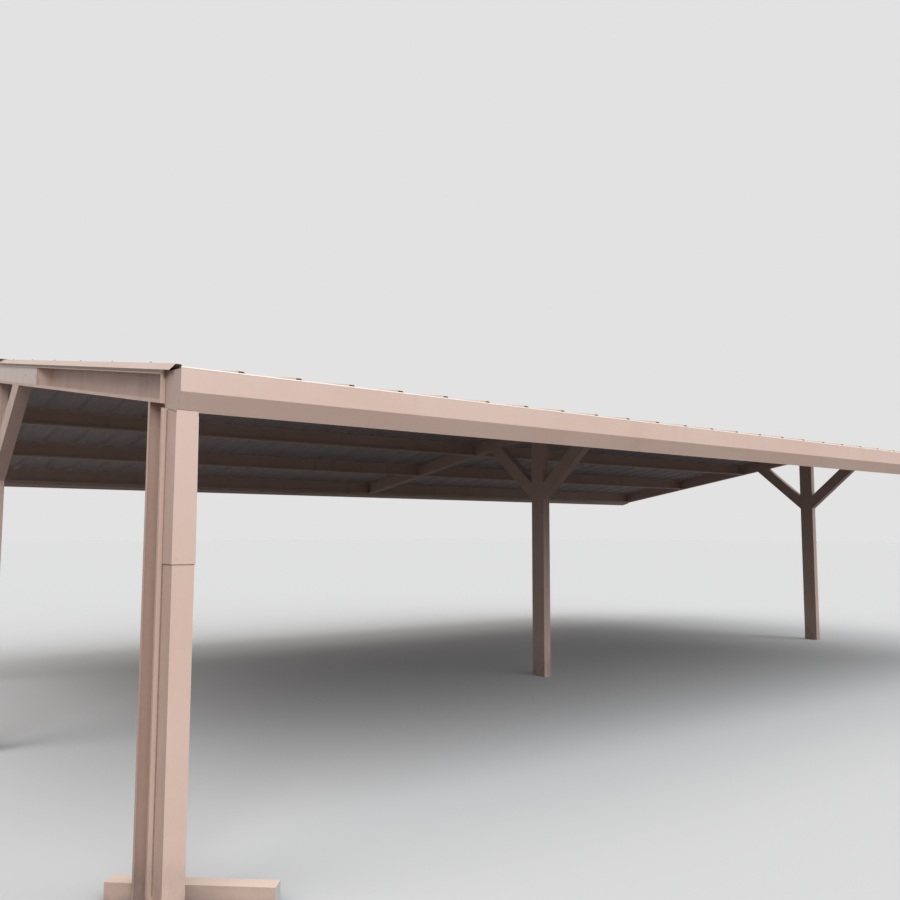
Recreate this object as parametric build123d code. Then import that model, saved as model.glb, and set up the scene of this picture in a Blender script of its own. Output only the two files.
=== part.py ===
from build123d import *
from math import cos, radians, sin, tan
import os

# Millimetres. X runs along the ridge, Y across it, Z up; the origin is the
# middle of the centre post's foot. Pieces are made for the rear slope and the left
# gable, v is the distance behind the ridge, and mirrors give the others.

# The whole carport
rib_pitch = 304.8
rib_count = 40
half_width = 3952.5
roof_slope = 9.05
eave_height = 2391.6
frame_depth = 152.4

# Framing
wall = 3.0
bend = 5.0
lip = 19.0
end_frame_width = 88.9
boxed_width = 101.6
post_depth = 203.2
foot_plate = 6.0
purlin_flange = 50.8
purlin_pitch = 1270.0
ridge_purlin_from = 30.0
splice_reach = 1377.0
splice_height = 118.0
splice_inset = 9.0

# Knee braces
brace_angle = 40.0
brace_depth = 152.4
brace_start = 786.8

# Ribbed roof sheets and the ridge cap
sheet = 1.6
rib_height = 32.0
rib_top = 24.0
rib_flare = 30.2
minor_height = 4.0
minor_top = 16.0
minor_base = 26.0
minor_offset = 52.0
sheet_reach = 84.0
sheet_ridge_gap = 12.0
cap_reach = 170.0
cap_hem = 16.0
cap_kick = 4.0

# Gutters
gutter_lift = 12.6
gutter_face = 102.3
gutter_drop = 187.5
gutter_set_back = 45.5
gutter_deep = 185.0
gutter_rise = 33.0
gutter_lip = 12.0
gutter_inset = 25.4
gutter_wall = 2.0
gutter_back_gap = 6.0

# Corner posts, downspouts and the beams across their feet
corner_flange = 63.5
corner_depth = 190.0
spout_width = 101.6
spout_depth = 110.0
outlet_inset = 14.0
spout_inset = 40.0
beam_width = 89.0
beam_height = 101.6
beam_length = 790.0
beam_angle = 42.0
beam_past_post = 200.0
beam_clear = 0.2

# How far a cutter runs past what it cuts
overrun = 40.0

# Worked out from the values above
slope = tan(radians(roof_slope))
rise_cos = cos(radians(roof_slope))
rise_sin = sin(radians(roof_slope))
drop = frame_depth / rise_cos
rib_base = rib_top + 2 * rib_flare
last_rib = (rib_count - 1) * rib_pitch / 2
half_length = last_rib + rib_base / 2
gutter_half = half_length - gutter_inset
gutter_joint = (gutter_wall - gutter_half) / 2
web_line = half_length - end_frame_width
eave_line = half_width - gutter_deep
rafter_foot = eave_line - purlin_flange * rise_cos
low_purlin = eave_line - purlin_pitch
high_purlin = eave_line - 2 * purlin_pitch
ridge_purlin = ridge_purlin_from + purlin_flange * rise_cos
gutter_top = eave_height + gutter_lift
end_centre = half_length - end_frame_width / 2
spout_back = half_width - spout_inset - spout_depth
corner_back = spout_back - corner_depth


def roof_z(v):
    """The framing's top, where the sheets lie, at v."""
    return eave_height + slope * (half_width - v)


def folded(points, t):
    """A closed outline for a sheet of thickness t folded along points, to their left."""
    sides = []
    for a, b in zip(points, points[1:]):
        d = Vector(b[0] - a[0], b[1] - a[1]).normalized()
        n = Vector(-d.Y, d.X) * t
        sides.append((Vector(*a) + n, d, Vector(*b) + n))
    inner = [sides[0][0]]
    for (p, d, _), (q, e, _) in zip(sides, sides[1:]):
        gap = q - p
        along = (gap.X * e.Y - gap.Y * e.X) / (d.X * e.Y - d.Y * e.X)
        inner.append(p + d * along)
    inner.append(sides[-1][2])
    return list(points) + [(p.X, p.Y) for p in reversed(inner)]


def run_x(points, x0, x1):
    """A prism along X from an outline given as (v, height)."""
    wire = Polyline(*[(x0, v, z) for v, z in points], close=True)
    return extrude(make_face(wire), amount=x1 - x0, dir=(1, 0, 0))


def run_up(points, v_low, v_high):
    """A prism up the roof from an outline given as (x, height above the framing)."""
    z = roof_z(v_low)
    wire = Polyline(*[(x, v_low, z + h) for x, h in points], close=True)
    return extrude(make_face(wire), amount=(v_low - v_high) / rise_cos, dir=(0, -rise_cos, rise_sin))


def run_z(points, top):
    """A prism up from the floor, from an outline given as (x, v)."""
    wire = Polyline(*[(x, v, 0) for x, v in points], close=True)
    return extrude(make_face(wire), amount=top, dir=(0, 0, 1))


def bent(part, axis, radius=bend):
    """Rounds the long edges that lie along axis."""
    return fillet(part.edges().filter_by(axis), radius)


def channel(width, depth, t):
    """A lipped channel's outline: web at 0, flanges reaching to width, hung below 0."""
    line = [(width, -lip), (width, 0), (0, 0), (0, -depth), (width, -depth), (width, lip - depth)]
    return folded(line, t)


# Posts and knee braces

def post(x, width):
    half = post_depth / 2
    foot = roof_z(half) - drop
    top = roof_z(0) - drop
    gable = [(-half, 0), (half, 0), (half, foot), (0, top), (-half, foot)]
    outer = bent(run_x(gable, x - width / 2, x + width / 2), Axis.Z)
    low_end = (Align.CENTER, Align.CENTER, Align.MIN)
    hollow = Box(width - 2 * wall, post_depth - 2 * wall, top, align=low_end)
    return outer - Pos(x, 0, foot_plate) * hollow


def brace(x, width):
    """A boxed brace from the post's rear face up to the underside of the rafter."""
    lean = tan(radians(brace_angle))
    face = post_depth / 2

    def line_end(height):
        v = (roof_z(0) - drop - height + lean * face) / (lean + slope)
        return v, roof_z(v) - drop

    def strip(inset, past):
        low = roof_z(0) - drop - brace_start + inset
        high = low - 2 * inset + brace_depth / cos(radians(brace_angle))
        (v_low, z_low), (v_high, z_high) = line_end(low), line_end(high)
        start = [(face - past, low - lean * past), (face - past, high - lean * past)]
        return start + [(v_high + past, z_high + lean * past), (v_low + past, z_low + lean * past)]

    thin = wall / cos(radians(brace_angle))
    outer = run_x(strip(0, 0), x - width / 2, x + width / 2)
    return outer - run_x(strip(thin, overrun), x - width / 2 + wall, x + width / 2 - wall)


# Rafters

def middle_rafter():
    w, t = boxed_width / 2, wall / rise_cos
    outer = run_up([(-w, 0), (w, 0), (w, -drop), (-w, -drop)], rafter_foot, 0)
    w -= wall
    return outer - run_up([(-w, -t), (w, -t), (w, t - drop), (-w, t - drop)], rafter_foot, 0)


def end_rafter():
    """A lipped channel, open outwards, closed at the eave by a plate."""
    profile = [(-web_line - x, h) for x, h in channel(end_frame_width, drop, wall)]
    x0, x1 = -half_length, -web_line - wall
    plate = [(x0, -wall), (x1, -wall), (x1, wall - drop), (x0, wall - drop)]
    return run_up(profile, eave_line, 0) + run_up(plate, eave_line, eave_line - wall)


def splice_plate():
    """A stiffening tee inside the end rafter, near the ridge."""
    face, back = splice_inset - half_length, -web_line - wall
    top = (splice_height - drop) / 2
    middle = -drop / 2
    line = [(face, top), (face + wall, top), (face + wall, middle + wall), (back, middle + wall)]
    line += [(back, middle - wall), (face + wall, middle - wall)]
    line += [(face + wall, -drop - top), (face, -drop - top)]
    return run_up(line, splice_reach, 0)


# Purlins

def purlin_outline(v):
    """A lipped channel square to the roof, its web on the eave side at v."""
    placed = []
    for a, n in channel(purlin_flange, frame_depth, wall):
        placed.append((v - a * rise_cos + n * rise_sin, roof_z(v) + a * rise_sin + n * rise_cos))
    return placed


def purlin(v):
    profile = purlin_outline(v)
    left = run_x(profile, -web_line, -boxed_width / 2)
    return Compound(children=[left, mirror(left, about=Plane.YZ)])


def eave_purlin():
    """Its web stands plumb behind the gutter and its flanges follow the roof."""
    placed = []
    for a, n in channel(purlin_flange, drop, wall):
        placed.append((eave_line - a * rise_cos, roof_z(eave_line) + a * rise_sin + n))
    return run_x(placed, -web_line, web_line)


# Roof

def trapezium(centre, top, base, height):
    return [
        (centre - base / 2, 0),
        (centre - top / 2, height),
        (centre + top / 2, height),
        (centre + base / 2, 0),
    ]


def roof_sheet():
    """Tall ribs with two shallow stiffeners in each pan, as one folded line."""
    line = trapezium(-last_rib, rib_top, rib_base, rib_height)
    for k in range(1, rib_count):
        centre = k * rib_pitch - last_rib
        for offset in (-minor_offset, minor_offset):
            line += trapezium(centre - rib_pitch / 2 + offset, minor_top, minor_base, minor_height)
        line += trapezium(centre, rib_top, rib_base, rib_height)
    return run_up(folded(line, sheet), half_width - sheet_reach, sheet_ridge_gap)


def ridge_cap():
    """Bent over the rib tops, with its edges kicked up a little."""
    lift = rib_height + sheet
    edge = cap_reach - cap_hem
    half = [(edge, roof_z(edge) + lift), (cap_reach, roof_z(cap_reach) + lift + cap_kick)]
    line = [(-v, z) for v, z in reversed(half)] + [(0, roof_z(0) + lift)] + half
    return run_x(folded(line, sheet), -half_length, half_length)


# Gutters

def gutter_line():
    """The gutter's outside from its front edge, round the bottom, up the back wall."""
    low = gutter_top - gutter_drop
    return [
        (half_width, gutter_top),
        (half_width, gutter_top - gutter_face),
        (half_width - gutter_set_back, low),
        (eave_line, low + gutter_rise),
        (eave_line, roof_z(eave_line) - gutter_back_gap),
    ]


def outlet():
    """The hole over the downspout."""
    width, depth = spout_width - 2 * outlet_inset, spout_depth - 2 * outlet_inset
    hole = Box(width, depth, 2 * overrun)
    v = half_width - spout_inset - spout_depth / 2
    return Pos(spout_width / 2 - gutter_half, v, gutter_top - gutter_drop) * hole


def gutter(x0, x1):
    """One length. Four, butted end to end, make each gutter."""
    line = [(half_width - gutter_lip, gutter_top)] + gutter_line()
    return run_x(folded(line, -gutter_wall), x0, x1)


def gutter_caps():
    cap = run_x(gutter_line(), -gutter_half, gutter_wall - gutter_half)
    pair = [cap, mirror(cap, about=Plane.YZ)]
    return Compound(children=pair + [mirror(c, about=Plane.XZ) for c in pair])


# The left corners

def downspout():
    """A square pipe, its top cut to the gutter's folded bottom."""
    ring = Rectangle(spout_width, spout_depth)
    ring -= Rectangle(spout_width - 2 * gutter_wall, spout_depth - 2 * gutter_wall)
    v = half_width - spout_inset - spout_depth / 2
    pipe = Pos(spout_width / 2 - gutter_half, v, 0) * extrude(ring, amount=gutter_top)
    above = gutter_line()[1:4] + [(eave_line, gutter_top + overrun), (half_width, gutter_top + overrun)]
    return pipe - run_x(above, -half_length, 0)


def corner_post():
    """A lipped channel open towards the gable, under the end rafter's foot."""
    x0, x1 = -half_length, corner_flange - half_length
    line = [(x0, spout_back - lip), (x0, spout_back), (x1, spout_back)]
    line += [(x1, corner_back), (x0, corner_back), (x0, corner_back + lip)]
    shaft = run_z(folded(line, -wall), gutter_top)
    above = gutter_line()[1:4] + [(eave_line, roof_z(eave_line) - drop), (0, roof_z(0) - drop)]
    above += [(0, roof_z(0)), (half_width, roof_z(0))]
    return shaft - run_x(above, -half_length - overrun, 0)


def foot_beam():
    """Lies across the corner with its outer face against the corner post."""
    c, s = cos(radians(beam_angle)), sin(radians(beam_angle))
    away = beam_width / 2 + beam_clear
    x = corner_flange - half_length + s * away + c * beam_past_post
    v = corner_back - c * away + s * beam_past_post
    bar = Box(beam_length, beam_width, beam_height)
    return Pos(x, v, beam_height / 2) * Rot(0, 0, beam_angle) * bar


def place(name, piece, mirrors):
    for suffix, planes in mirrors:
        shape = piece
        for plane in planes:
            shape = mirror(shape, about=plane)
        export_step(shape, f"parts/{name}{suffix}.step")


both_sides = (("_rear", ()), ("_front", (Plane.XZ,)))
four_ways = (
    ("_left_rear", ()),
    ("_left_front", (Plane.XZ,)),
    ("_right_rear", (Plane.YZ,)),
    ("_right_front", (Plane.XZ, Plane.YZ)),
)

os.makedirs("parts", exist_ok=True)
place("post_middle", post(0, boxed_width), (("", ()),))
place("post", post(-end_centre, end_frame_width), (("_left", ()), ("_right", (Plane.YZ,))))
place("brace_middle", brace(0, boxed_width), both_sides)
place("brace", brace(-end_centre, end_frame_width), four_ways)
place("rafter_middle", middle_rafter(), both_sides)
place("rafter", end_rafter(), four_ways)
place("splice", splice_plate(), four_ways)
place("purlin_eave", eave_purlin(), both_sides)
place("purlin_low", purlin(low_purlin), both_sides)
place("purlin_high", purlin(high_purlin), both_sides)
place("purlin_ridge", purlin(ridge_purlin), both_sides)
place("roof_sheet", roof_sheet(), both_sides)
place("ridge_cap", ridge_cap(), (("", ()),))
end_length = gutter(gutter_wall - gutter_half, gutter_joint)
place("gutter_left_end", end_length - outlet(), both_sides)
place("gutter_right_end", mirror(end_length, about=Plane.YZ), both_sides)
inner_length = gutter(gutter_joint, 0)
place("gutter_left_inner", inner_length, both_sides)
place("gutter_right_inner", mirror(inner_length, about=Plane.YZ), both_sides)
place("gutter_caps", gutter_caps(), (("", ()),))
place("downspout", downspout(), both_sides)
place("corner_post", corner_post(), both_sides)
place("foot_beam", foot_beam(), both_sides)
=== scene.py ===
from math import cos, pi, radians, sin, tan

import bmesh
import bpy
from mathutils import Matrix, Vector


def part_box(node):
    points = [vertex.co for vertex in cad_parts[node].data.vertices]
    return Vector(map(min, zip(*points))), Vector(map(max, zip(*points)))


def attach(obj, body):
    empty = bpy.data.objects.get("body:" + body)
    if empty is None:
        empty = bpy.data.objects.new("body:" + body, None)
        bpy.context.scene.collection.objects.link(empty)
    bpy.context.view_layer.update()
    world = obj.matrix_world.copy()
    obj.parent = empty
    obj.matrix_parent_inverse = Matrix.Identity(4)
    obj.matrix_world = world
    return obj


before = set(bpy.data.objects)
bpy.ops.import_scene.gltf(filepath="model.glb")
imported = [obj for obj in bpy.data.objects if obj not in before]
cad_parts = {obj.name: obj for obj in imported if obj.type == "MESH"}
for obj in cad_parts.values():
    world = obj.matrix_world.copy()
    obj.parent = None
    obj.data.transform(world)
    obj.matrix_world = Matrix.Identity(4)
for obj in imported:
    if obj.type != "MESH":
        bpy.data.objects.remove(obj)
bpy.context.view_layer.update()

# Sizes that several pieces share, in metres. X runs along the ridge, Y across it.
carport = {
    "slope": radians(9.05),
    "halfWidth": 3.9525,
    "eaveHeight": 2.3916,
    "frameDepth": 0.1524,
    "wall": 0.003,
    "purlinFlange": 0.0508,
    "ribPitch": 0.3048,
    "ribCount": 40,
    "ribTop": 0.024,
    "ribFlare": 0.0302,
    "ribHeight": 0.032,
    "sheet": 0.0016,
}
film, clearance = 0.0001, 0.0002  # keep thin skins and small parts off the solids
slopeCos, slopeSin, slopeTan = (f(carport["slope"]) for f in (cos, sin, tan))
drop = carport["frameDepth"] / slopeCos
postBox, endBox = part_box("post_middle"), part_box("post_left")
sheetBox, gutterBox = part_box("roof_sheet_rear"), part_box("gutter_left_inner_rear")
halfLength = sheetBox[1].x
firstRib = -(carport["ribCount"] - 1) * carport["ribPitch"] / 2
ribs = [firstRib + k * carport["ribPitch"] for k in range(carport["ribCount"])]
eaveLine = gutterBox[0].y  # the gutter's back, from the ridge
webLine = -endBox[1].x  # the gable rafters' inner side, from the middle
purlinLines = [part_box(f"purlin_{row}_rear")[1].y for row in ("eave", "low", "high", "ridge")]
sides = (-1, 1)
spouts = ((-1, "downspout_front"), (1, "downspout_rear"))


def roofZ(v):
    # top of the framing, v metres from the ridge
    return carport["eaveHeight"] + slopeTan * (carport["halfWidth"] - v)


def onRoof(side, x, v, along=0.0, up=0.0):
    # along runs from v up to the ridge, up stands square to the roof
    y = v - along * slopeCos + up * slopeSin
    return Vector((x, side * y, roofZ(v) + along * slopeSin + up * slopeCos))


def roofNormal(side):
    return Vector((0, side * slopeSin, slopeCos))


# Small helpers for the node trees of paints and shapes
def wire(tree, source, target):
    tree.links.new(source, target)


def addNode(tree, kind, inputs=None, **settings):
    # each input takes a link or a plain value
    made = tree.nodes.new(kind)
    for key, value in settings.items():
        setattr(made, key, value)
    for key, value in (inputs or {}).items():
        socket = made.inputs[key]
        if isinstance(value, bpy.types.NodeSocket):
            wire(tree, value, socket)
        else:
            socket.default_value = value
    return made


def noiseField(tree, coords, grain, stretch=(1, 1, 1)):
    # grain is the noise's scale, detail and roughness
    scale, detail, rough = grain
    spread = addNode(tree, "ShaderNodeMapping", {"Vector": coords, "Scale": stretch})
    made = addNode(tree, "ShaderNodeTexNoise",
                   {"Vector": spread.outputs[0], "Scale": scale, "Detail": detail, "Roughness": rough})
    return made.outputs[0]


def band(tree, value, low, high, lowOut=0.0, highOut=1.0):
    # a soft step from low to high
    made = addNode(tree, "ShaderNodeMapRange", {"Value": value, "From Min": low, "From Max": high,
                                                "To Min": lowOut, "To Max": highOut},
                   interpolation_type="SMOOTHSTEP")
    return made.outputs[0]


def calc(tree, operation, *values):
    return addNode(tree, "ShaderNodeMath", dict(enumerate(values)), operation=operation).outputs[0]


def times(tree, product, *factors):
    for factor in factors:
        product = calc(tree, "MULTIPLY", product, factor)
    return product


def blendColour(tree, factor, under, over):
    made = addNode(tree, "ShaderNodeMix", {0: factor, 6: under, 7: over}, data_type="RGBA")
    return made.outputs[2]


def rgb(red, green, blue):
    return (red, green, blue, 1.0)


paint = {
    "body": rgb(0.600, 0.448, 0.386),
    "faded": rgb(0.650, 0.508, 0.448),
    "grime": rgb(0.235, 0.180, 0.148),
    "soil": rgb(0.250, 0.205, 0.178),
    "dust": rgb(0.520, 0.470, 0.425),
    "chip": rgb(0.150, 0.105, 0.085),
    "backCoat": rgb(0.520, 0.490, 0.500),
    "paleGrey": rgb(0.620, 0.630, 0.640),
}

# What the weather does to every paint. A band is where its effect starts and where it is full,
# and three numbers are a noise's scale, detail and roughness.
weather = {
    "fadeBand": (0.35, 0.70), "underBand": (-0.20, -0.50),
    "mottle": (38.0, 5.0, 0.65), "mottleBand": (0.45, 0.80),
    "streak": (1.0, 6.0, 0.60), "streakBand": (0.50, 0.74),
    "patch": (0.9, 2.0, 0.55), "patchBand": (0.40, 0.62),
    "dust": (9.0, 6.0, 0.70), "dustBand": (0.34, 0.70), "upwardBand": (0.45, 0.97),
    "splash": (11.0, 5.0, 0.70), "splashWay": (1, 1, 0.5), "splashBand": (0.30, 0.66), "splashShare": 0.75,
    "chipBand": (0.085, 0.050), "chipArea": (2.3, 2.0, 0.55), "chipAreaBand": (0.62, 0.70),
    "shine": (6.5, 4.0, 0.55), "shineBand": (0.30, 0.75), "dirtDulls": 0.25, "dustDulls": 0.30,
    "coatRoughness": 0.3, "wave": (1.0, 1.0, 0.55), "waveStrength": 0.35,
    "peel": (420.0, 2.0, 0.55), "peelStrength": 0.16, "peelDepth": 0.0006,
}


def startPaint(name):
    made = bpy.data.materials.new(name)
    made.use_nodes = True
    tree = made.node_tree
    coords = addNode(tree, "ShaderNodeTexCoord").outputs["Object"]
    return made, tree, tree.nodes["Principled BSDF"], coords


def paintedSteel(name, look):
    w = weather
    made, tree, shader, coords = startPaint(name)
    place = addNode(tree, "ShaderNodeSeparateXYZ", {0: coords})
    facing = addNode(tree, "ShaderNodeSeparateXYZ",
                     {0: addNode(tree, "ShaderNodeNewGeometry").outputs["Normal"]})

    fade = band(tree, noiseField(tree, coords, look["cloud"]), *w["fadeBand"], 0.0, look["fade"])
    colour = blendColour(tree, fade, look["colour"], paint["faded"])
    if "under" in look:  # the sheets' backing coat shows from below
        below = band(tree, facing.outputs["Z"], *w["underBand"])
        colour = blendColour(tree, below, colour, look["under"])
    mottle = band(tree, noiseField(tree, coords, w["mottle"]), *w["mottleBand"], 0.0, look["mottle"])
    colour = blendColour(tree, mottle, colour, paint["grime"])
    streak = band(tree, noiseField(tree, coords, w["streak"], look["streakWay"]), *w["streakBand"])
    patch = band(tree, noiseField(tree, coords, w["patch"]), *w["patchBand"])
    dirt = times(tree, streak, patch, look["streaks"])
    colour = blendColour(tree, dirt, colour, paint["grime"])
    # dust on faces that look up; on the foot beams the same mask paints a lighter top, as painted light
    upFacing = band(tree, facing.outputs["Z"], *w["upwardBand"])
    speck = band(tree, noiseField(tree, coords, w["dust"]), *look.get("litTopBand", w["dustBand"]))
    dustAndLitTop = times(tree, upFacing, speck, look["dust"])
    colour = blendColour(tree, dustAndLitTop, colour, look.get("litTopColour", paint["dust"]))
    if look["splash"]:  # mud thrown up from the ground, heaviest at the foot
        height = band(tree, place.outputs["Z"], look["splash"], 0.0)
        ragged = band(tree, noiseField(tree, coords, w["splash"], w["splashWay"]), *w["splashBand"])
        mud = times(tree, height, ragged, w["splashShare"])
        colour = blendColour(tree, mud, colour, paint["soil"])
    spots = addNode(tree, "ShaderNodeTexVoronoi", {"Vector": coords, "Scale": look["chipScale"]})
    rare = band(tree, noiseField(tree, coords, w["chipArea"]), *w["chipAreaBand"])
    chipped = times(tree, band(tree, spots.outputs["Distance"], *w["chipBand"]), rare, look["chips"])
    colour = blendColour(tree, chipped, colour, paint["chip"])
    wire(tree, colour, shader.inputs["Base Color"])

    shine = band(tree, noiseField(tree, coords, w["shine"]), *w["shineBand"], *look["roughness"])
    rougher = calc(tree, "MULTIPLY_ADD", dirt, w["dirtDulls"], shine)
    wire(tree, calc(tree, "MULTIPLY_ADD", dustAndLitTop, w["dustDulls"], rougher), shader.inputs["Roughness"])
    shader.inputs["Specular IOR Level"].default_value = look["specular"]
    shader.inputs["Coat Weight"].default_value = look["coat"]
    shader.inputs["Coat Roughness"].default_value = w["coatRoughness"]

    # long shallow waves in the rolled steel, then the orange peel of the paint
    wave = noiseField(tree, coords, w["wave"], look["waveWay"])
    wavy = addNode(tree, "ShaderNodeBump", {"Height": wave, "Strength": w["waveStrength"],
                                            "Distance": look["waveDepth"]})
    peel = noiseField(tree, coords, w["peel"])
    grain = addNode(tree, "ShaderNodeBump", {"Height": peel, "Strength": w["peelStrength"],
                                             "Distance": w["peelDepth"], "Normal": wavy.outputs[0]})
    wire(tree, grain.outputs[0], shader.inputs["Normal"])
    return made


frameLook = {
    "colour": paint["body"], "fade": 0.5, "mottle": 0.10, "streakWay": (9, 9, 0.7), "streaks": 0.30,
    "dust": 0.45, "splash": 0.42, "chips": 0.8, "chipScale": 34.0, "roughness": (0.42, 0.58),
    "specular": 0.42, "coat": 0.05, "waveWay": (2.5, 2.5, 1.2), "waveDepth": 0.006,
    "cloud": (1.3, 3.0, 0.55),
}
roofLook = {
    "colour": paint["body"], "fade": 0.8, "mottle": 0.12, "streakWay": (14, 0.9, 0.9), "streaks": 0.30,
    "dust": 0.55, "splash": 0, "chips": 0.4, "chipScale": 26.0, "roughness": (0.34, 0.52),
    "specular": 0.5, "coat": 0.05, "waveWay": (1.2, 2.4, 1.0), "waveDepth": 0.010,
    "cloud": (0.8, 3.0, 0.55), "under": paint["backCoat"],
}
gutterLook = {
    "colour": paint["body"], "fade": 0.6, "mottle": 0.05, "streakWay": (8, 8, 0.8), "streaks": 0.10,
    "dust": 0.40, "splash": 0.35, "chips": 0.5, "chipScale": 30.0, "roughness": (0.36, 0.50),
    "specular": 0.46, "coat": 0.08, "waveWay": (1.1, 2.0, 2.0), "waveDepth": 0.008,
    "cloud": (1.0, 3.0, 0.55),
}
# foot beams: a darker body colour, painted shade on their sides, and a lighter top colour, painted light on
# their tops
beamLook = {
    "colour": rgb(0.51, 0.385, 0.33), "fade": 0.3, "mottle": 0.12, "streakWay": (3, 3, 12),
    "streaks": 0.25, "dust": 0.92, "litTopColour": rgb(0.88, 0.71, 0.625), "litTopBand": (0.12, 0.46),
    "splash": 0.07, "chips": 0.9, "chipScale": 30.0, "roughness": (0.48, 0.64),
    "specular": 0.36, "coat": 0.0, "waveWay": (4, 4, 4), "waveDepth": 0.003,
    "cloud": (3.0, 3.0, 0.55), "paleEndBand": (0.70, 0.735),
}
framePaint = paintedSteel("framePaint", frameLook)
roofPaint = paintedSteel("roofPaint", roofLook)
gutterPaint = paintedSteel("gutterPaint", gutterLook)
beamPaint = paintedSteel("beamPaint", beamLook)
# a darker copy of the gutter paint: painted shade on the gutter's end caps and their rims
shadedCapPaint = paintedSteel("shadedCapPaint", {**gutterLook, "colour": rgb(0.535, 0.405, 0.352), "fade": 0.2,
                                     "dust": 0.25})
# a lighter copy of the gutter paint: a painted highlight along the gutter lip's bead
lipHighlightPaint = paintedSteel("lipHighlightPaint", {**gutterLook, "colour": rgb(0.80, 0.70, 0.64), "fade": 0.1,
                                     "specular": 0.7, "roughness": (0.20, 0.32), "dust": 0.1})
# a paler copy of the frame paint: a painted sheen on the rafter splice plates
spliceSheenPaint = paintedSteel("spliceSheenPaint", {**frameLook, "colour": rgb(0.63, 0.53, 0.475), "fade": 0.3,
                                           "streaks": 0.12, "chips": 0.2, "roughness": (0.28, 0.40)})


def paleBeamEnds(material, look):
    # the ends that face +X, towards the bays, are coloured pale grey
    tree = material.node_tree
    shader = tree.nodes["Principled BSDF"]
    colour = shader.inputs["Base Color"].links[0].from_socket
    geometry = addNode(tree, "ShaderNodeNewGeometry")
    facing = addNode(tree, "ShaderNodeSeparateXYZ", {0: geometry.outputs["Normal"]})
    end = band(tree, facing.outputs["X"], *look["paleEndBand"])
    wire(tree, blendColour(tree, end, colour, paint["paleGrey"]), shader.inputs["Base Color"])


paleBeamEnds(beamPaint, beamLook)

# Small parts: one colour broken up by fine noise, with its own shine
smallParts = {"detail": 4.0, "rough": 0.65, "wornBand": (0.35, 0.70), "shineBand": (0.30, 0.70),
              "bumpStrength": 0.3}


def simplePaint(name, look):
    s = smallParts
    made, tree, shader, coords = startPaint(name)
    fine = noiseField(tree, coords, (look["scale"], s["detail"], s["rough"]))
    worn = band(tree, fine, *s["wornBand"])
    wire(tree, blendColour(tree, worn, look["colour"], look["worn"]), shader.inputs["Base Color"])
    wire(tree, band(tree, fine, *s["shineBand"], *look["roughness"]), shader.inputs["Roughness"])
    shader.inputs["Metallic"].default_value = look["metallic"]
    bump = addNode(tree, "ShaderNodeBump", {"Height": fine, "Strength": s["bumpStrength"],
                                            "Distance": look["bump"]})
    wire(tree, bump.outputs[0], shader.inputs["Normal"])
    return made


screwPaint = simplePaint("screwPaint", {
    "colour": rgb(0.52, 0.42, 0.36), "worn": rgb(0.36, 0.30, 0.27), "scale": 180.0,
    "roughness": (0.35, 0.6), "metallic": 0.1, "bump": 0.0004})
zincSteel = simplePaint("zincSteel", {
    "colour": rgb(0.34, 0.335, 0.33), "worn": rgb(0.22, 0.21, 0.205), "scale": 60.0,
    "roughness": (0.45, 0.62), "metallic": 0.5, "bump": 0.0003})
weldPaint = simplePaint("weldPaint", {
    "colour": rgb(0.54, 0.42, 0.36), "worn": rgb(0.40, 0.31, 0.26), "scale": 90.0,
    "roughness": (0.4, 0.62), "metallic": 0.0, "bump": 0.0006})
# mid brown for the painted shadow strips at the gutter's ends
gapShade = simplePaint("gapShade", {
    "colour": rgb(0.32, 0.245, 0.21), "worn": rgb(0.26, 0.20, 0.17), "scale": 30.0,
    "roughness": (0.6, 0.8), "metallic": 0.0, "bump": 0.0002})
# dark brown for real seams, and for dark strips painted as shadow lines
seamAndShadowDark = simplePaint("seamAndShadowDark", {
    "colour": rgb(0.20, 0.155, 0.13), "worn": rgb(0.30, 0.24, 0.20), "scale": 40.0,
    "roughness": (0.6, 0.8), "metallic": 0.0, "bump": 0.0002})
print("materials made")

for node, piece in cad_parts.items():
    piece.data.materials.clear()
    if node.startswith(("roof_sheet", "ridge_cap")):
        piece.data.materials.append(roofPaint)
    elif node == "gutter_caps":
        piece.data.materials.append(shadedCapPaint)
    elif node.startswith(("gutter", "downspout")):
        piece.data.materials.append(gutterPaint)
    elif node.startswith("foot_beam"):
        piece.data.materials.append(beamPaint)
    elif node.startswith("splice"):
        piece.data.materials.append(spliceSheenPaint)
    else:
        piece.data.materials.append(framePaint)


# A shape is its points and faces, and makePiece joins shapes into one mesh
def prism(ring, shift):
    # a closed outline of points, carried along shift
    count = len(ring)
    points = [Vector(p) for p in ring] + [Vector(p) + Vector(shift) for p in ring]
    faces = [tuple(range(count)), tuple(range(count, 2 * count))]
    faces += [(k, (k + 1) % count, (k + 1) % count + count, k + count) for k in range(count)]
    return points, faces


def offsetLine(line, gap):
    # the same folded line, gap to its left, as (across, height) pairs
    runs = []
    for (a, b), (c, d) in zip(line, line[1:]):
        way = Vector((c - a, d - b)).normalized()
        away = Vector((-way.y, way.x)) * gap
        runs.append((Vector((a, b)) + away, way, Vector((c, d)) + away))
    made = [runs[0][0]]
    for (p, d, _), (q, e, _) in zip(runs, runs[1:]):
        between = q - p
        made.append(p + d * ((between.x * e.y - between.y * e.x) / (d.x * e.y - d.y * e.x)))
    made.append(runs[-1][2])
    return [tuple(p) for p in made]


def foldedRing(line, lift, thick):
    # the outline of a strip that follows the line, from lift to lift + thick off it
    return offsetLine(line, lift) + list(reversed(offsetLine(line, lift + thick)))


def insetLoop(loop, gap):
    # a closed outline drawn in by gap, for corners that run clockwise
    count = len(loop)
    doubled = offsetLine([loop[k % count] for k in range(-1, count + 1)], -gap)
    return doubled[1:count + 1]


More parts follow.
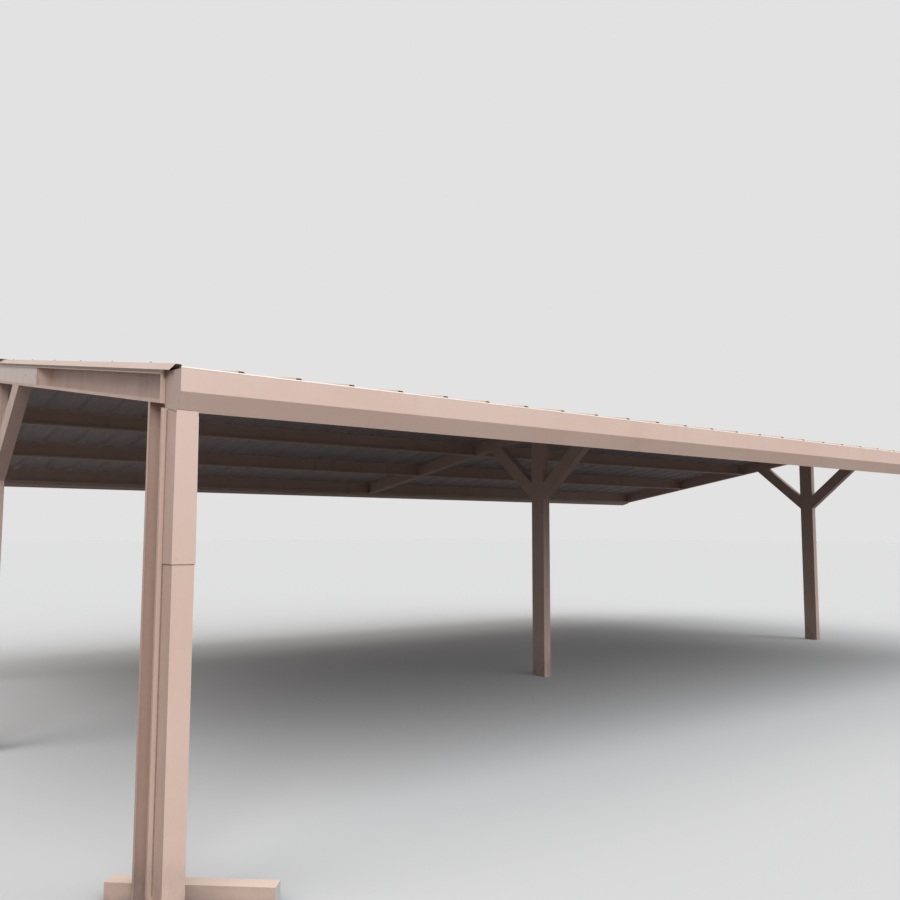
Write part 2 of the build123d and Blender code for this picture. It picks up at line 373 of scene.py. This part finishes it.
def tube(*loops):
    # walls between four like outlines: outer and inner at one end, inner and outer at the other
    count = len(loops[0])
    points = [Vector(p) for loop in loops for p in loop]
    faces = []
    for a in range(4):
        b = (a + 1) % 4
        for k in range(count):
            n = (k + 1) % count
            faces.append((a * count + k, a * count + n, b * count + n, b * count + k))
    return points, faces


def addObject(name, data):
    made = bpy.data.objects.new(name, data)
    bpy.context.scene.collection.objects.link(made)
    return made


def makePiece(name, shapes, material=None):
    points, faces = [], []
    for shapePoints, shapeFaces in shapes:
        start = len(points)
        points += shapePoints
        faces += [tuple(start + k for k in face) for face in shapeFaces]
    mesh = bpy.data.meshes.new(name)
    mesh.from_pydata(points, [], faces)
    work = bmesh.new()
    work.from_mesh(mesh)
    bmesh.ops.recalc_face_normals(work, faces=work.faces)
    work.to_mesh(mesh)
    work.free()
    if material:
        mesh.materials.append(material)
    return addObject(name, mesh)


def pointPiece(name, spots):
    # loose points, each with the way that its screw faces
    mesh = bpy.data.meshes.new(name)
    mesh.from_pydata([spot for spot, _ in spots], [], [])
    facing = mesh.attributes.new("facing", "FLOAT_VECTOR", "POINT")
    for k, (_, way) in enumerate(spots):
        facing.data[k].vector = way
    return addObject(name, mesh)


def linePiece(name, lines):
    # bare edges, for beads to follow
    points, edges = [], []
    for line in lines:
        start = len(points)
        points += line
        edges += [(start + k, start + k + 1) for k in range(len(line) - 1)]
    mesh = bpy.data.meshes.new(name)
    mesh.from_pydata(points, edges, [])
    return addObject(name, mesh)


# Geometry Nodes: a tree's inputs are the sizes of what it makes, then its paint
def startTree(name, settings):
    tree = bpy.data.node_groups.new(name, "GeometryNodeTree")
    tree.is_modifier = True
    tree.interface.new_socket("Geometry", in_out="INPUT", socket_type="NodeSocketGeometry")
    kinds = {int: "NodeSocketInt", float: "NodeSocketFloat", tuple: "NodeSocketVector"}
    for label, value in settings.items():
        made = tree.interface.new_socket(label, in_out="INPUT", socket_type=kinds[type(value)])
        made.default_value = value
    tree.interface.new_socket("Paint", in_out="INPUT", socket_type="NodeSocketMaterial")
    tree.interface.new_socket("Geometry", in_out="OUTPUT", socket_type="NodeSocketGeometry")
    return tree, tree.nodes.new("NodeGroupInput").outputs


def endTree(tree, shape, sizes):
    real = addNode(tree, "GeometryNodeRealizeInstances", {"Geometry": shape})
    coat = addNode(tree, "GeometryNodeSetMaterial",
                   {"Geometry": real.outputs[0], "Material": sizes["Paint"]})
    wire(tree, coat.outputs[0], tree.nodes.new("NodeGroupOutput").inputs[0])


# A hex head on a round washer, also used flat as a rivet
screwShape = {"cornerShare": 0.5774, "washerSides": 12, "rimShare": 0.82,
              "inputs": {"Head Across": 0.008, "Head Height": 0.005, "Washer Radius": 0.0075,
                         "Washer Height": 0.0022, "Spin Seed": 7}}


def screwTree():
    s = screwShape
    tree, sizes = startTree("screwTree", s["inputs"])
    radius = times(tree, sizes["Head Across"], s["cornerShare"])
    head = addNode(tree, "GeometryNodeMeshCone", {"Vertices": 6, "Radius Bottom": radius,
                                                  "Radius Top": radius, "Depth": sizes["Head Height"]})
    rim = times(tree, sizes["Washer Radius"], s["rimShare"])
    washer = addNode(tree, "GeometryNodeMeshCone",
                     {"Vertices": s["washerSides"], "Radius Bottom": sizes["Washer Radius"],
                      "Radius Top": rim, "Depth": sizes["Washer Height"]})
    lift = addNode(tree, "ShaderNodeCombineXYZ", {"Z": sizes["Washer Height"]})
    raised = addNode(tree, "GeometryNodeTransform",
                     {"Geometry": head.outputs[0], "Translation": lift.outputs[0]})
    whole = tree.nodes.new("GeometryNodeJoinGeometry")
    wire(tree, washer.outputs[0], whole.inputs[0])
    wire(tree, raised.outputs[0], whole.inputs[0])
    facing = addNode(tree, "GeometryNodeInputNamedAttribute", {"Name": "facing"}, data_type="FLOAT_VECTOR")
    turned = addNode(tree, "FunctionNodeAlignRotationToVector", {"Vector": facing.outputs[0]}, axis="Z")
    spin = addNode(tree, "FunctionNodeRandomValue", {"Seed": sizes["Spin Seed"]}, data_type="FLOAT")
    spin.inputs[3].default_value = 2 * pi
    twist = addNode(tree, "FunctionNodeAxisAngleToRotation", {"Axis": (0, 0, 1), "Angle": spin.outputs[1]})
    spun = addNode(tree, "FunctionNodeRotateRotation",
                   {"Rotation": turned.outputs[0], "Rotate By": twist.outputs[0]}, rotation_space="LOCAL")
    placed = addNode(tree, "GeometryNodeInstanceOnPoints",
                     {"Points": sizes["Geometry"], "Instance": whole.outputs[0],
                      "Rotation": spun.outputs[0]})
    endTree(tree, placed.outputs[0], sizes)
    return tree


# A weld bead along a line, rippled by noise
beadShape = {"sides": 6, "noiseScale": 190.0, "noiseDetail": 1.0,
             "inputs": {"Bead Radius": 0.0028, "Step": 0.007, "Ripple": 0.0009}}


def beadTree():
    b = beadShape
    tree, sizes = startTree("beadTree", b["inputs"])
    curve = addNode(tree, "GeometryNodeMeshToCurve", {"Mesh": sizes["Geometry"]})
    even = addNode(tree, "GeometryNodeResampleCurve", {"Curve": curve.outputs[0], "Length": sizes["Step"]},
                   mode="LENGTH")
    ring = addNode(tree, "GeometryNodeCurvePrimitiveCircle",
                   {"Resolution": b["sides"], "Radius": sizes["Bead Radius"]})
    bead = addNode(tree, "GeometryNodeCurveToMesh",
                   {"Curve": even.outputs[0], "Profile Curve": ring.outputs[0], "Fill Caps": True})
    noise = addNode(tree, "ShaderNodeTexNoise", {"Scale": b["noiseScale"], "Detail": b["noiseDetail"]})
    centred = addNode(tree, "ShaderNodeVectorMath", {0: noise.outputs[1], 1: (0.5, 0.5, 0.5)},
                      operation="SUBTRACT")
    push = addNode(tree, "ShaderNodeVectorMath", {0: centred.outputs[0], "Scale": sizes["Ripple"]},
                   operation="SCALE")
    rough = addNode(tree, "GeometryNodeSetPosition",
                    {"Geometry": bead.outputs[0], "Offset": push.outputs[0]})
    soft = addNode(tree, "GeometryNodeSetShadeSmooth", {"Geometry": rough.outputs[0]})
    endTree(tree, soft.outputs[0], sizes)
    return tree


def rowTree():
    # repeats whatever it is given, Count times along Spacing
    tree, sizes = startTree("rowTree", {"Count": 2, "Spacing": (1.0, 0.0, 0.0)})
    line = addNode(tree, "GeometryNodeMeshLine", {"Count": sizes["Count"], "Offset": sizes["Spacing"]},
                   mode="OFFSET")
    placed = addNode(tree, "GeometryNodeInstanceOnPoints",
                     {"Points": line.outputs[0], "Instance": sizes["Geometry"]})
    endTree(tree, placed.outputs[0], sizes)
    return tree


trees = {"screw": screwTree(), "bead": beadTree(), "row": rowTree()}


def fasten(piece):
    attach(piece, "root")


def grow(piece, kind, material, finish, **settings):
    # runs a node tree on the piece and keeps its result as a plain mesh
    tree = trees[kind]
    sockets = {item.name: item.identifier for item in tree.interface.items_tree
               if item.item_type == "SOCKET" and item.in_out == "INPUT"}
    modifier = piece.modifiers.new(kind, "NODES")
    modifier.node_group = tree
    modifier[sockets["Paint"]] = material
    for label, value in settings.items():  # headAcross sets the input Head Across
        spaced = "".join(" " + c if c.isupper() else c for c in label).strip().title()
        modifier[sockets[spaced]] = value
    done = bpy.data.meshes.new_from_object(piece.evaluated_get(bpy.context.evaluated_depsgraph_get()))
    piece.modifiers.clear()
    old = piece.data
    piece.data = done
    bpy.data.meshes.remove(old)
    done.name = piece.name
    fasten(piece)


# Screws through the sheets: beside each rib over three purlins, and along the end ribs
sheetScrews = {"ribOffset": 0.059, "rows": 3, "endRibFrom": 0.45, "endRibStep": 0.61, "fromEave": 0.15,
               "screw": {"headAcross": 0.0085, "washerRadius": 0.0085, "spinSeed": 11}}


def addSheetScrews():
    s = sheetScrews
    flangeMid, top = carport["purlinFlange"] / 2, carport["sheet"]
    spots = []
    for side in sides:
        way = roofNormal(side)
        for line in purlinLines[:s["rows"]]:
            for x in ribs:
                inward = -1 if x == ribs[-1] else 1
                spots.append((onRoof(side, x + inward * s["ribOffset"], line, flangeMid, top), way))
        ribUp = (carport["ribHeight"] + top) * slopeCos
        v = s["endRibFrom"]
        while v < eaveLine - s["fromEave"]:
            spots += [(onRoof(side, x, v, 0, ribUp), way) for x in (ribs[0], ribs[-1])]
            v += s["endRibStep"]
    grow(pointPiece("sheet_screws", spots), "screw", screwPaint, "roof_paint", **s["screw"])


addSheetScrews()

# Ridge cap: screws at each rib, and the laps between its lengths
capParts = {"reach": 0.170, "screwFromEdge": 0.038, "lapAt": (-2.95, 0.10, 3.15), "lapWidth": 0.09,
            "lapThick": 0.0009, "fromRidge": 0.007, "hem": 0.016, "hemShort": 0.001, "hemRise": 0.0037,
            "screw": {"spinSeed": 12}}


def addCapParts():
    c = capParts
    lift = carport["ribHeight"] + 2 * carport["sheet"]
    v = c["reach"] - c["screwFromEdge"]
    spots = [(onRoof(side, x, v, 0, lift * slopeCos), roofNormal(side)) for side in sides for x in ribs]
    grow(pointPiece("cap_screws", spots), "screw", screwPaint, "roof_paint", **c["screw"])

    edge = c["reach"] - c["hem"]
    base = carport["ribHeight"] + carport["sheet"]
    line = [(c["fromRidge"], roofZ(c["fromRidge"]) + base), (edge, roofZ(edge) + base),
            (c["reach"] - c["hemShort"], roofZ(c["reach"]) + base + c["hemRise"])]
    ring = foldedRing(line, carport["sheet"] + film, c["lapThick"])
    shapes = []
    for x in c["lapAt"]:
        start = x - c["lapWidth"] / 2
        for side in sides:
            shapes.append(prism([(start, side * y, z) for y, z in ring], (c["lapWidth"], 0, 0)))
    fasten(makePiece("cap_laps", shapes, roofPaint))


addCapParts()

# The sheets come three ribs wide, and each laps over its neighbour's rib
sheetLaps = {"every": 3, "first": 2, "skin": 0.0008, "nearPan": 0.010, "farPan": 0.005,
             "sheetEnd": 0.084, "short": 0.0015, "fromRidge": 0.02}


def addSheetLaps():
    s = sheetLaps
    base = carport["ribTop"] + 2 * carport["ribFlare"]
    half, top, tall = base / 2, carport["ribTop"] / 2, carport["ribHeight"]
    line = [(-half - s["nearPan"], 0), (-half, 0), (-top, tall),
            (top, tall), (half, 0), (half + s["farPan"], 0)]
    ring = foldedRing(line, carport["sheet"] + film, s["skin"])
    low, high = carport["halfWidth"] - s["sheetEnd"] - s["short"], s["fromRidge"]
    shapes = []
    for side in sides:
        outline = [(ribs[s["first"]] + x, side * low, roofZ(low) + h) for x, h in ring]
        shapes.append(prism(outline, (0, side * (high - low), roofZ(high) - roofZ(low))))
    count = len(range(s["first"], len(ribs), s["every"]))
    grow(makePiece("sheet_laps", shapes), "row", roofPaint, "roof_paint", count=count,
         spacing=(s["every"] * carport["ribPitch"], 0, 0))


addSheetLaps()
print("roof dressed")

# Gutters: straps, joint sleeves, the lip's bead, end rims and rivets. The first two rows are the
# folded outline that they all follow.
gutterParts = {
    "top": 2.4042, "face": 0.1023, "drop": 0.1875, "setBack": 0.0455, "deep": 0.185, "rise": 0.033,
    "lip": 0.012, "wall": 0.002, "backDown": 0.004,
    "straps": 13, "strapRibs": 3, "strapWidth": 0.026, "strapThick": 0.0016, "strapDown": 0.001,
    "strapSag": 0.008, "strapSteps": 8, "rearTab": 0.025, "frontTab": 0.018,
    "sleeve": 0.12, "sleeveThick": 0.0012, "sleeveDown": 0.004,
    "bead": 0.0062, "beadSides": 12, "beadUp": 0.75,
    "rimWidth": 0.007, "rimProud": 0.0016, "rimInset": 0.0003,
    "rivetAside": 0.03, "rivetAt": (0.25, 0.75), "rivetDown": 0.014,
    "rivet": {"headAcross": 0.004, "headHeight": 0.0008, "washerRadius": 0.0036,
              "washerHeight": 0.0009, "spinSeed": 13},
}


def troughLine():
    # the gutter's outside as (distance from the ridge, height), from the lip to the back
    g = gutterParts
    w, t = carport["halfWidth"], g["top"]
    low = t - g["drop"]
    return [(w - g["lip"], t), (w, t), (w, t - g["face"]), (w - g["setBack"], low),
            (w - g["deep"], low + g["rise"]), (w - g["deep"], t - g["backDown"])]


def addStraps(start, step):
    g = gutterParts
    back, front = eaveLine + g["wall"] + clearance, carport["halfWidth"] - g["wall"] - clearance
    z = g["top"] - g["wall"] - g["strapThick"] - g["strapDown"]
    over = []
    for k in range(g["strapSteps"] + 1):
        part = k / g["strapSteps"]
        over.append((back + (front - back) * part, z - g["strapSag"] * sin(pi * part)))
    over = [(back, z - g["rearTab"])] + over + [(over[-1][0], over[-1][1] - g["frontTab"])]
    ring = foldedRing(over, 0.0, -g["strapThick"])
    shapes = [prism([(start - g["strapWidth"] / 2, side * y, h) for y, h in ring], (g["strapWidth"], 0, 0))
              for side in sides]
    grow(makePiece("gutter_straps", shapes), "row", zincSteel, "gutter_paint", count=g["straps"],
         spacing=(step, 0, 0))
    return z


def addGutterParts():
    g = gutterParts
    step = g["strapRibs"] * carport["ribPitch"]
    start = -step * (g["straps"] - 1) / 2
    strapZ = addStraps(start, step)

    line = [(carport["halfWidth"], g["top"] - g["sleeveDown"])] + troughLine()[2:]
    ring = foldedRing(line, -(g["wall"] + film), -g["sleeveThick"])
    joint, endX = gutterBox[0].x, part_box("gutter_left_end_rear")[0].x
    joints = (joint, 0.0, -joint)
    shapes = []
    for side in sides:
        for x in joints:
            shapes.append(prism([(x - g["sleeve"] / 2, side * y, h) for y, h in ring], (g["sleeve"], 0, 0)))
    fasten(makePiece("gutter_sleeves", shapes, gutterPaint))

    shapes = []
    for side in sides:
        ring = []
        for k in range(g["beadSides"]):
            turn = 2 * pi * k / g["beadSides"]
            ring.append((endX, side * (carport["halfWidth"] - g["bead"] * (1 - cos(turn)) - clearance),
                         g["top"] + g["bead"] * (g["beadUp"] + sin(turn))))
        shapes.append(prism(ring, (-2 * endX, 0, 0)))
    # the bead takes the lighter paint of its painted highlight
    fasten(makePiece("gutter_beads", shapes, lipHighlightPaint))

    outline = troughLine()[1:]
    outer, inner = insetLoop(outline, g["rimInset"]), insetLoop(outline, g["rimWidth"])
    shapes = []
    for end in sides:
        near, far = -end * endX, -end * (endX - g["rimProud"])
        for side in sides:
            rings = ((near, outer), (near, inner), (far, inner), (far, outer))
            shapes.append(tube(*([(x, side * y, h) for y, h in ring] for x, ring in rings)))
    fasten(makePiece("gutter_end_rims", shapes, shadedCapPaint))

    rivets = []
    (a, b), (c, d) = troughLine()[3:5]
    for side in sides:
        way = Vector((0, side * (b - d), -(a - c))).normalized()
        for x in joints:
            for dx in (-g["rivetAside"], g["rivetAside"]):
                for part in g["rivetAt"]:
                    rivets.append((Vector((x + dx, side * (a + (c - a) * part), b + (d - b) * part)), way))
        y = side * (eaveLine + g["wall"] + g["strapThick"] + clearance)
        for k in range(g["straps"]):
            rivets.append((Vector((start + k * step, y, strapZ - g["rivetDown"])), Vector((0, side, 0))))
    grow(pointPiece("gutter_rivets", rivets), "screw", screwPaint, "gutter_paint", **g["rivet"])


addGutterParts()

# Downspouts: the upper length slips over the lower one, with rivets at the joint, and dark strips painted
# as shadow lines at the joint and under the gutter
spoutParts = {"joint": 1.54, "top": 2.20, "flare": 0.0036, "skin": 0.0008, "shadow": 0.0036,
              "shadowProud": 0.0005, "outletProud": 0.0006, "rivetUp": 0.022, "rivetAside": 0.03,
              "rivet": {"headAcross": 0.004, "headHeight": 0.0007, "washerRadius": 0.0036,
                        "washerHeight": 0.0008, "spinSeed": 14}}


def spoutRing(low, high, z0, z1, grown0, grown1):
    # a square sleeve around the pipe, grown0 proud of it at z0 and grown1 at z1
    loops = []
    for z, g in ((z0, grown0), (z0, film), (z1, film), (z1, grown1)):
        loops.append([(low.x - g, low.y - g, z), (high.x + g, low.y - g, z), (high.x + g, high.y + g, z),
                      (low.x - g, high.y + g, z)])
    return tube(*loops)


def outletShadowLine(low, high, side):
    # a dark strip painted as the shadow where the pipe meets the gutter's folded bottom
    upper, lowest, back = troughLine()[2:5]
    front, rear = max(abs(low.y), abs(high.y)), min(abs(low.y), abs(high.y))
    steep = (upper[1] - lowest[1]) / (upper[0] - lowest[0])
    gentle = (back[1] - lowest[1]) / (lowest[0] - back[0])
    marks = [(front, lowest[1] + steep * (front - lowest[0])), lowest,
             (rear, lowest[1] + gentle * (lowest[0] - rear))]
    proud, bottom = spoutParts["outletProud"], clearance + spoutParts["shadow"]
    loops = []
    for grown, fall in ((proud, clearance), (film, clearance), (film, bottom), (proud, bottom)):
        reach = [(v + way * grown, z - fall) for (v, z), way in zip(marks, (1, 0, -1))]
        loop = [(low.x - grown, side * v, z) for v, z in reach]
        loop += [(high.x + grown, side * v, z) for v, z in reversed(reach)]
        loops.append(loop)
    return tube(*loops)


def addSpoutParts():
    s = spoutParts
    joint, grown, rivetZ = s["joint"], s["flare"], s["joint"] + s["rivetUp"]
    shapes, shadowLines, rivets = [], [], []
    for side, node in spouts:
        low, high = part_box(node)
        shapes.append(spoutRing(low, high, joint, s["top"], grown, s["skin"]))
        # a dark ring painted as the shadow under the upper length's edge
        shadowLines.append(spoutRing(low, high, joint - s["shadow"], joint, s["shadowProud"], s["shadowProud"]))
        shadowLines.append(outletShadowLine(low, high, side))
        middle, face = (low.x + high.x) / 2, low.y - grown if side < 0 else high.y + grown
        for dx in (-s["rivetAside"], s["rivetAside"]):
            rivets.append((Vector((middle + dx, face, rivetZ)), Vector((0, side, 0))))
        rivets.append((Vector((high.x + grown, (low.y + high.y) / 2, rivetZ)), Vector((1, 0, 0))))
    fasten(makePiece("spout_sleeves", shapes, gutterPaint))
    fasten(makePiece("spout_shadow_lines", shadowLines, seamAndShadowDark))
    grow(pointPiece("spout_rivets", rivets), "screw", gutterPaint, "gutter_paint", **s["rivet"])


addSpoutParts()

# Painted shadow: dark strips where the gutter's end and the downspout stand against the frame
cornerShadows = {"eaveWidth": 0.010, "eaveTall": 0.036, "roofGap": 0.002, "endWidth": 0.0025,
              "endFoot": 2.252, "postWidth": 0.006, "postFoot": 0.115, "postTop": 2.232, "proud": 0.0006}


def addCornerShadows():
    c = cornerShadows
    top = roofZ(eaveLine) - c["roofGap"]
    middle = top - c["eaveTall"]
    shapes = []
    for side, node in spouts:
        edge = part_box(node)[0].x
        rear = min(abs(corner.y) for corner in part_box(node))
        for v, width, z0, z1 in ((eaveLine, c["eaveWidth"], middle, top),
                                 (eaveLine, c["endWidth"], c["endFoot"], middle),
                                 (rear, c["postWidth"], c["postFoot"], c["postTop"])):
            near, far = v + film, v + c["proud"]
            ring = [(x, side * y, z0) for x, y in ((edge - width, near), (edge - film, near),
                                                   (edge - film, far), (edge - width, far))]
            shapes.append(prism(ring, (0, 0, z1 - z0)))
    fasten(makePiece("corner_shadows", shapes, gapShade))


addCornerShadows()
print("gutters dressed")

# Weld beads round the post heads and the braces' ends, and stitch welds along each post's seams
weldParts = {"sunk": 0.0024, "braceAngle": radians(40), "braceStart": 0.7868, "braceDepth": 0.1524,
             "stitchFrom": 0.25, "stitch": 0.04, "stitchStep": 0.36, "belowBrace": 0.1,
             "seamWidth": 0.0016, "seamIn": 0.0004, "seamShort": 0.004,
             "bead": {"beadRadius": 0.0032}, "stitchBead": {"beadRadius": 0.0026}}


def braceEnds():
    # the (v, z) ends of a brace's lower and upper edge, at the post and at the rafter
    lean = tan(weldParts["braceAngle"])
    face = postBox[1].y
    top = roofZ(0) - drop
    foot = top - weldParts["braceStart"]
    rows = []
    for height in (foot, foot + weldParts["braceDepth"] / cos(weldParts["braceAngle"])):
        v = (top - height + lean * face) / (lean + slopeTan)
        rows.append(((face, height), (v, roofZ(v) - drop)))
    return rows


def addWelds():
    w = weldParts
    posts = [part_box(node) for node in ("post_left", "post_middle", "post_right")]
    beads, stitches, seams = [], [], []
    ((face, low), (lowV, lowZ)), ((_, high), (highV, highZ)) = braceEnds()
    shoulder = roofZ(face) - drop
    for a, b in posts:
        x0, x1 = a.x + w["sunk"], b.x - w["sunk"]
        for side in sides:
            for under, over in (((face, low), (face, high)), ((lowV, lowZ), (highV, highZ))):
                loop = ((x0, under), (x1, under), (x1, over), (x0, over), (x0, under))
                beads.append([Vector((x, side * v, z)) for x, (v, z) in loop])
        crown = [(-face, shoulder), (0, roofZ(0) - drop), (face, shoulder)]
        ring = [Vector((x0, v, z)) for v, z in crown] + [Vector((x1, v, z)) for v, z in reversed(crown)]
        beads.append(ring + [ring[0]])
        middle, half = (x0 + x1) / 2, w["seamWidth"] / 2
        for side in sides:
            z = w["stitchFrom"]
            while z < low - w["belowBrace"]:
                stitches.append([Vector((middle, side * face, h)) for h in (z, z + w["stitch"])])
                z += w["stitchStep"]
            near, far = side * (face - w["seamIn"]), side * (face + clearance)
            for z0, z1 in ((w["seamShort"], low - w["seamShort"]),
                           (high + w["seamShort"], shoulder - w["seamShort"])):
                ring = [(middle - half, near, z0), (middle + half, near, z0),
                        (middle + half, far, z0), (middle - half, far, z0)]
                seams.append(prism(ring, (0, 0, z1 - z0)))
    grow(linePiece("weld_beads", beads), "bead", weldPaint, "frame_paint", **w["bead"])
    grow(linePiece("stitch_welds", stitches), "bead", weldPaint, "frame_paint", **w["stitchBead"])
    fasten(makePiece("post_seams", seams, seamAndShadowDark))


addWelds()

# Angle clips that hold the purlins to the rafters, with their screws
clipParts = {"leg": 0.050, "thick": 0.003, "top": 0.022, "tall": 0.104, "screwIn": 0.013,
             "purlinScrewAt": 0.62, "rafterScrewAt": 0.60,
             "screw": {"washerRadius": 0.0065, "washerHeight": 0.0012, "spinSeed": 15}}


def addClips():
    c = clipParts
    shapes, screws = [], []
    outward = postBox[1].x
    faces = ((-webLine, 1), (-outward, -1), (outward, 1), (webLine, -1))
    for side in sides:
        down = Vector((0, side * slopeCos, -slopeSin))
        for line in purlinLines[1:]:
            for x, way in faces:
                far, inner = x + way * c["leg"], x + way * c["thick"]
                for x0, x1, a0, a1 in ((x, far, -c["thick"], 0.0), (x, inner, -c["leg"], -c["thick"])):
                    ring = [onRoof(side, u, line, a, -c["top"]) for u, a in
                            ((x0, a0), (x1, a0), (x1, a1), (x0, a1))]
                    shapes.append(prism(ring, roofNormal(side) * -c["tall"]))
                for up in (-c["top"] - c["screwIn"], -c["top"] - c["tall"] + c["screwIn"]):
                    spot = onRoof(side, x + way * c["leg"] * c["purlinScrewAt"], line, -c["thick"], up)
                    screws.append((spot, down))
                    spot = onRoof(side, inner, line, -c["leg"] * c["rafterScrewAt"], up)
                    screws.append((spot, Vector((way, 0, 0))))
    fasten(makePiece("purlin_clips", shapes, framePaint))
    grow(pointPiece("clip_screws", screws), "screw", screwPaint, "frame_paint", **c["screw"])


addClips()

# Splices of the gable rafters: a slanted plate closes each end, with a seam and two screws beside it
spliceParts = {"run": 0.105, "thick": 0.002, "seam": 0.004, "seamShort": 0.004, "skin": 0.0008,
               "screwsAt": (0.04, 0.34), "screwDown": 0.076,
               "screw": {"headAcross": 0.007, "headHeight": 0.0026, "washerRadius": 0.0062,
                         "washerHeight": 0.0012, "spinSeed": 16}}


def addSpliceEnds():
    s = spliceParts
    plates, seams, screws = [], [], []
    inside = carport["wall"] + clearance
    tall = carport["frameDepth"] - 2 * inside
    for node, end in (("splice_left_rear", -1), ("splice_right_rear", 1)):
        low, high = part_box(node)
        face = low.x if end < 0 else high.x
        reach = high.y
        web = end * (webLine + clearance)
        near, far = face + end * s["skin"], face - end * clearance
        for side in sides:
            way = roofNormal(side)
            ring = [onRoof(side, x, reach, a, -inside) for x, a in
                    ((face, -clearance), (face, -clearance - s["thick"]),
                     (web, -s["run"] - s["thick"]), (web, -s["run"]))]
            plates.append(prism(ring, way * -tall))
            ring = [onRoof(side, x, reach, a, -inside - s["seamShort"]) for x, a in
                    ((near, s["seam"]), (near, -s["thick"]), (far, -s["thick"]), (far, s["seam"]))]
            seams.append(prism(ring, way * (2 * s["seamShort"] - tall)))
            for a in s["screwsAt"]:
                screws.append((onRoof(side, face, reach, a, -s["screwDown"]), Vector((end, 0, 0))))
    fasten(makePiece("splice_ends", plates, framePaint))
    fasten(makePiece("splice_seams", seams, seamAndShadowDark))
    grow(pointPiece("splice_screws", screws), "screw", weldPaint, "frame_paint", **s["screw"])


addSpliceEnds()

# A dark strip painted as the sheet edge's shadow runs between each gable rafter and the sheet's edge
gableShadowParts = {"tall": 0.013, "start": 0.03, "end": 3.80}


def addGableShadowStrips():
    s = gableShadowParts
    shapes = []
    for end in sides:
        near, far = end * (-endBox[0].x + film), end * (halfLength - film)
        for side in sides:
            ring = [onRoof(side, x, s["end"], 0, up) for x, up in
                    ((far, -s["tall"]), (far, 0), (near, 0), (near, -s["tall"]))]
            shapes.append(prism(ring, onRoof(side, 0, s["start"]) - onRoof(side, 0, s["end"])))
    fasten(makePiece("gable_shadow_strips", shapes, seamAndShadowDark))


addGableShadowStrips()
print("framing dressed")

# Floor and light. A lamp is its name, strength, size in degrees, direction and tint.
stageLook = {
    "seen": rgb(0.662, 0.695, 0.722), "bounce": rgb(0.178, 0.172, 0.174), "reach": 160.0,
    "sky": rgb(1.0, 0.93, 0.88), "skyLevel": 0.36, "backdrop": rgb(0.76, 0.76, 0.76),
    "lamps": (("key", 2.85, 70.0, (0.0, -0.80, 0.57), (1.0, 0.99, 0.98)),
              ("fill", 1.0, 44.0, (-0.66, -0.14, 0.73), (1.0, 0.92, 0.86))),
}


def makeFloor():
    # the eye sees a paler floor than the one that throws light back
    s = stageLook
    reach = s["reach"]
    mesh = bpy.data.meshes.new("floor")
    mesh.from_pydata([(-reach, -reach, 0), (reach, -reach, 0), (reach, reach, 0), (-reach, reach, 0)], [],
                     [(0, 1, 2, 3)])
    floor = addObject("floor", mesh)
    look = bpy.data.materials.new("floorLook")
    look.use_nodes = True
    tree = look.node_tree
    tree.nodes.remove(tree.nodes["Principled BSDF"])
    pale = addNode(tree, "ShaderNodeBsdfDiffuse", {"Color": s["seen"]})
    dim = addNode(tree, "ShaderNodeBsdfDiffuse", {"Color": s["bounce"]})
    seen = addNode(tree, "ShaderNodeLightPath").outputs["Is Camera Ray"]
    mixed = addNode(tree, "ShaderNodeMixShader", {0: seen, 1: dim.outputs[0], 2: pale.outputs[0]})
    wire(tree, mixed.outputs[0], tree.nodes["Material Output"].inputs[0])
    mesh.materials.append(look)


def makeLight():
    # the eye and reflections see the backdrop, everything else is lit by the sky
    s = stageLook
    world = bpy.data.worlds.new("studio")
    bpy.context.scene.world = world
    world.use_nodes = True
    tree = world.node_tree
    path = addNode(tree, "ShaderNodeLightPath").outputs
    seen = calc(tree, "MAXIMUM", path["Is Camera Ray"], path["Is Glossy Ray"])
    seen = calc(tree, "MAXIMUM", seen, path["Is Transmission Ray"])
    backdrop = addNode(tree, "ShaderNodeBackground", {"Color": s["backdrop"], "Strength": 1.0})
    sky = addNode(tree, "ShaderNodeBackground", {"Color": s["sky"], "Strength": s["skyLevel"]})
    mixed = addNode(tree, "ShaderNodeMixShader", {0: seen, 1: sky.outputs[0], 2: backdrop.outputs[0]})
    wire(tree, mixed.outputs[0], tree.nodes["World Output"].inputs[0])

    for name, strength, size, source, tint in s["lamps"]:
        lamp = bpy.data.lights.new(name, "SUN")
        lamp.energy = strength
        lamp.color = tint
        lamp.angle = radians(size)
        lit = addObject(name, lamp)
        lit.matrix_world = Vector(source).to_track_quat("Z", "Y").to_matrix().to_4x4()


makeFloor()
makeLight()

# The camera, with its focal length in pixels of the picture
view = {"focal": 882.6623, "pitch": radians(5.32345), "yaw": radians(37.85622), "roll": radians(0.13258),
        "place": (-7.387555, -7.726889, 1.683407), "picture": 900, "sensor": 36.0, "clip": (0.05, 500.0)}


def makeCamera():
    yaw, pitch, roll = view["yaw"], view["pitch"], view["roll"]
    ahead = Vector((sin(yaw) * cos(pitch), cos(yaw) * cos(pitch), sin(pitch)))
    across = Vector((cos(yaw), -sin(yaw), 0))
    above = across.cross(ahead)
    right = across * cos(roll) + above * sin(roll)
    up = above * cos(roll) - across * sin(roll)
    lens = bpy.data.cameras.new("camera")
    lens.sensor_width = view["sensor"]
    lens.lens = view["focal"] / view["picture"] * view["sensor"]
    lens.clip_start, lens.clip_end = view["clip"]
    camera = addObject("camera", lens)
    turn = Matrix((right, up, -ahead)).transposed().to_4x4()
    camera.matrix_world = Matrix.Translation(view["place"]) @ turn
    bpy.context.scene.camera = camera


makeCamera()
bpy.context.scene.view_settings.view_transform = "Standard"

print("stage set")
